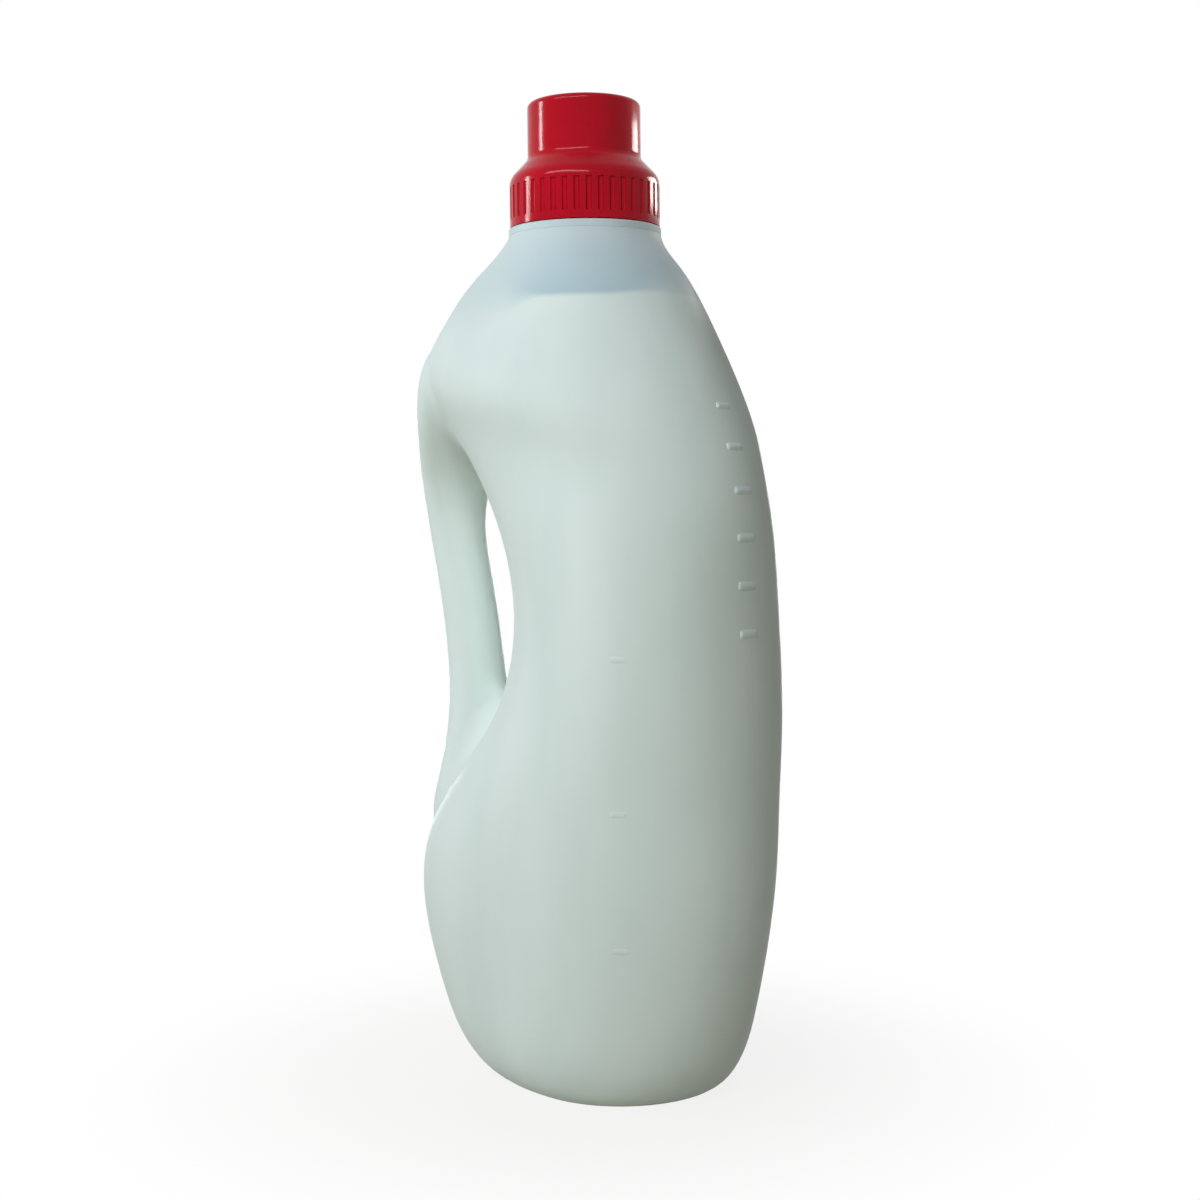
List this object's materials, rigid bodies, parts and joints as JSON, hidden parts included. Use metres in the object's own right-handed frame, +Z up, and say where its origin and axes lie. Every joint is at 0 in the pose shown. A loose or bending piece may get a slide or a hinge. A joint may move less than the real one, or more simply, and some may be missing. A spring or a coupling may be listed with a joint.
{
  "type": "fabric softener bottle",
  "caption": "Blow-moulded fabric softener bottle with a hollow through handle, a pinched waist and a red screw cap that carries a measuring cup, filled with liquid.",
  "frame": {"origin": "on the standing plane, under the middle of the overall box", "axes": "+Z up; X along the broad side, with the handle at -X and the narrow front edge at +X; Y through the depth"},
  "size_m": [0.131, 0.084, 0.3018],
  "materials": {
    "bottle": "satin milky blow-moulded polyethylene",
    "softener": "milky white liquid",
    "cap": "glossy injection-moulded polypropylene",
    "sealing_ring": "matte foamed polyethylene"
  },
  "bodies": {
    "bottle": {"bottle": "bottle", "softener": "softener"},
    "seal": {"sealing_ring": "sealing_ring"},
    "cap": {"cap": "cap"}
  },
  "joints": [
    {"name": "cap_lift", "type": "slide", "parent": "bottle", "child": "seal", "axis": [0, 0, 1], "range_m": [0, 0.01366]},
    {"name": "cap_turn", "type": "hinge", "parent": "seal", "child": "cap", "pos_m": [0.00144, 0, 0.27], "axis": [0, 0, 1], "range_deg": [0, 1170]}
  ],
  "couplings": [
    {"joint": "cap_lift", "follows": "cap_turn", "m_per_rad": 0.00066845}
  ]
}
